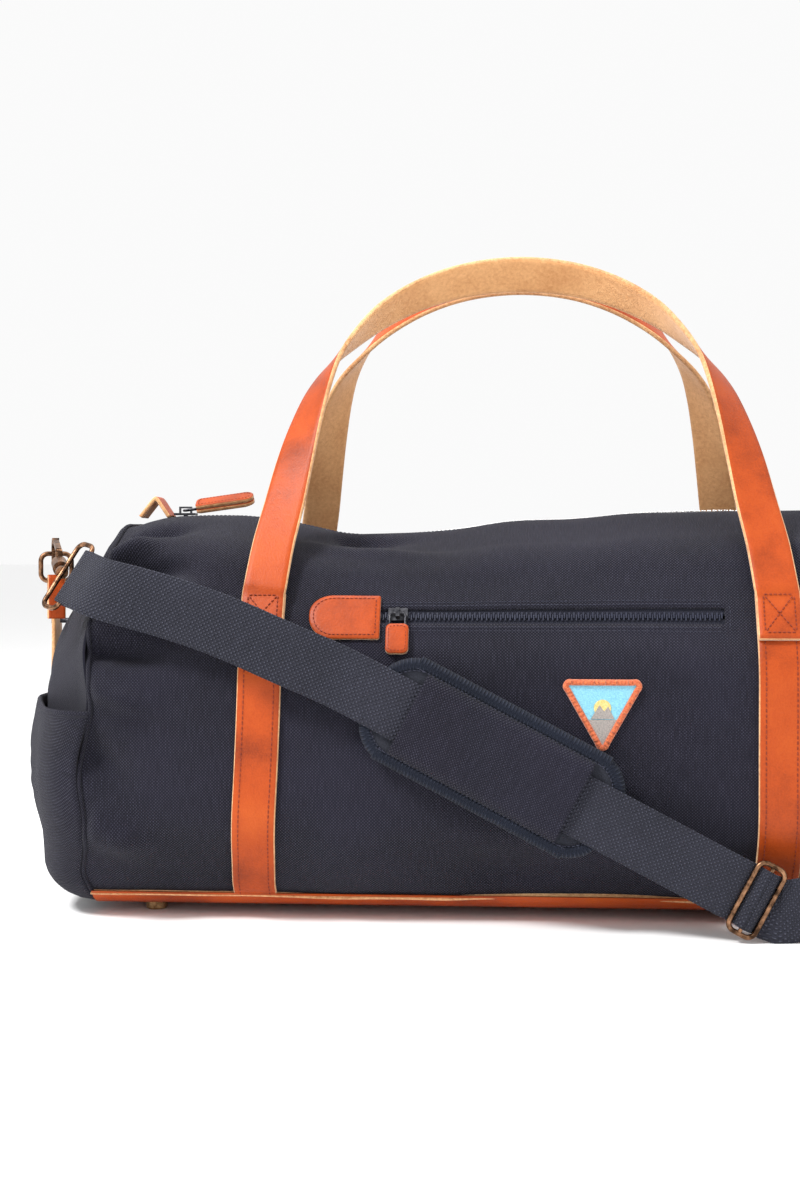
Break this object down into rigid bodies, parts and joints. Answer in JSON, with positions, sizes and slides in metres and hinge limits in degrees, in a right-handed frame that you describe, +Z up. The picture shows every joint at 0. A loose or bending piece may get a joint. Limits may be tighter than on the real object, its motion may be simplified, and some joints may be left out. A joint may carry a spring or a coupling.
{
  "type": "duffel weekender bag",
  "caption": "Canvas duffel bag with leather trim, twin leather handles, zipped main and front compartments, open end pockets and a clip-on padded shoulder strap.",
  "frame": {"origin": "on the ground under the middle of the whole object, strap included", "axes": "+X along the bag to its right end, -Y to the front pocket side, +Z up"},
  "size_m": [0.6839, 0.3294, 0.4327],
  "materials": {
    "canvas": "heavy cotton canvas, matte",
    "leather": "vegetable-tanned, satin",
    "webbing": "coarse woven webbing",
    "binding": "ribbed tape",
    "pad": "padded canvas",
    "zip_metal": "bright zip teeth",
    "zip_tape": "woven tape",
    "zip_plastic": "moulded zip chain",
    "patch_border": "overlocked edge",
    "patch_field": "woven badge",
    "board": "stiffener sheet",
    "hardware": "antique copper plating"
  },
  "bodies": {
    "bag": {"back_left_band": "leather", "back_panel": "canvas", "back_right_band": "leather", "base_board": "board", "base_feet": "hardware", "base_leather": "leather", "floor_panel": "canvas", "foot_washers": "hardware", "front_left_band": "leather", "front_panel": "canvas", "front_pocket_lining": "zip_tape", "front_right_band": "leather", "front_zip_end_tab": "leather", "front_zip_tapes": "zip_tape", "front_zip_teeth": "zip_plastic", "left_d_ring_tab": "leather", "left_end_panel": "canvas", "left_end_piping": "binding", "left_end_pocket": "canvas", "left_end_strip": "leather", "left_main_zip_end_tab": "leather", "left_pocket_binding": "binding", "left_strip_rivet": "hardware", "main_zip_tape_back": "zip_tape", "main_zip_tape_front": "zip_tape", "main_zip_teeth": "zip_metal", "patch_border": "patch_border", "patch_field": "patch_field", "right_d_ring_tab": "leather", "right_end_panel": "canvas", "right_end_piping": "binding", "right_end_pocket": "canvas", "right_end_strip": "leather", "right_main_zip_end_tab": "leather", "right_pocket_binding": "binding", "right_strip_rivet": "hardware", "top_bridges": "canvas"},
    "front_handle": {"front_handle": "leather"},
    "back_handle": {"back_handle": "leather"},
    "shoulder_strap": {"shoulder_webbing": "webbing", "webbing_turnback": "webbing", "webbing_tail": "webbing", "strap_adjuster": "hardware", "left_hook_swivel": "hardware", "right_hook_swivel": "hardware"},
    "shoulder_pad": {"shoulder_pad": "pad", "pad_binding": "binding", "pad_sleeve": "canvas"},
    "left_hook": {"left_hook_body": "hardware"},
    "right_hook": {"right_hook_body": "hardware"},
    "left_gate": {"left_hook_gate": "hardware"},
    "right_gate": {"right_hook_gate": "hardware"},
    "left_d_ring": {"left_d_ring": "hardware"},
    "right_d_ring": {"right_d_ring": "hardware"},
    "main_slider": {"main_zip_slider": "hardware"},
    "main_pull": {"main_zip_pull_ring": "hardware", "main_zip_pull": "leather"},
    "front_slider": {"front_zip_slider": "hardware"},
    "front_pull": {"front_zip_pull_ring": "hardware", "front_zip_pull": "leather"}
  },
  "joints": [
    {"name": "front_handle_swing", "type": "hinge", "parent": "bag", "child": "front_handle", "pos_m": [-0.004, -0.1232, 0.209], "axis": [1, 0, 0], "range_deg": [0, 100]},
    {"name": "back_handle_swing", "type": "hinge", "parent": "bag", "child": "back_handle", "pos_m": [-0.004, 0.1448, 0.209], "axis": [-1, 0, 0], "range_deg": [0, 100]},
    {"name": "strap_lift", "type": "hinge", "parent": "bag", "child": "shoulder_strap", "pos_m": [-0.004, -0.0612, 0.231], "axis": [1, 0, 0], "range_deg": [-60, 0]},
    {"name": "pad_slide", "type": "slide", "parent": "shoulder_strap", "child": "shoulder_pad", "axis": [0.8854, -0.0216, -0.4643], "range_m": [0, 0.045]},
    {"name": "left_hook_swivel_turn", "type": "hinge", "parent": "shoulder_strap", "child": "left_hook", "pos_m": [-0.294, -0.1052, 0.218], "axis": [-0.3292, 0.9057, 0.2672], "range_deg": [-6, 6]},
    {"name": "right_hook_swivel_turn", "type": "hinge", "parent": "shoulder_strap", "child": "right_hook", "pos_m": [0.2885, -0.10224, 0.1986], "axis": [0.25, 0.76, 0.6], "range_deg": [-6, 6]},
    {"name": "left_gate_open", "type": "hinge", "parent": "left_hook", "child": "left_gate", "pos_m": [-0.30303, -0.08037, 0.23311], "axis": [-0.9399, -0.3416, -0.0004], "range_deg": [0, 10], "stiffness_Nm_per_rad": 0.02},
    {"name": "right_gate_open", "type": "hinge", "parent": "right_hook", "child": "right_gate", "pos_m": [0.29741, -0.07559, 0.2103], "axis": [0.9465, -0.3224, 0.014], "range_deg": [0, 10], "stiffness_Nm_per_rad": 0.02},
    {"name": "left_d_ring_swing", "type": "hinge", "parent": "bag", "child": "left_d_ring", "pos_m": [-0.31, -0.0612, 0.213], "axis": [0.9397, 0.342, 0], "range_deg": [0, 8]},
    {"name": "right_d_ring_swing", "type": "hinge", "parent": "bag", "child": "right_d_ring", "pos_m": [0.302, -0.0612, 0.213], "axis": [0.9397, -0.342, 0], "range_deg": [0, 8]},
    {"name": "main_zip_run", "type": "slide", "parent": "bag", "child": "main_slider", "axis": [1, 0, 0], "range_m": [0, 0.425]},
    {"name": "main_pull_flip", "type": "hinge", "parent": "main_slider", "child": "main_pull", "pos_m": [-0.237, 0.0108, 0.2614], "axis": [0, -1, 0], "range_deg": [0, 120]},
    {"name": "front_zip_run", "type": "slide", "parent": "bag", "child": "front_slider", "axis": [1, 0, 0], "range_m": [0, 0.185]},
    {"name": "front_pull_swing", "type": "hinge", "parent": "front_slider", "child": "front_pull", "pos_m": [-0.078, -0.12702, 0.19425], "axis": [0, -0.887, 0.4617], "range_deg": [-10, 36]}
  ]
}
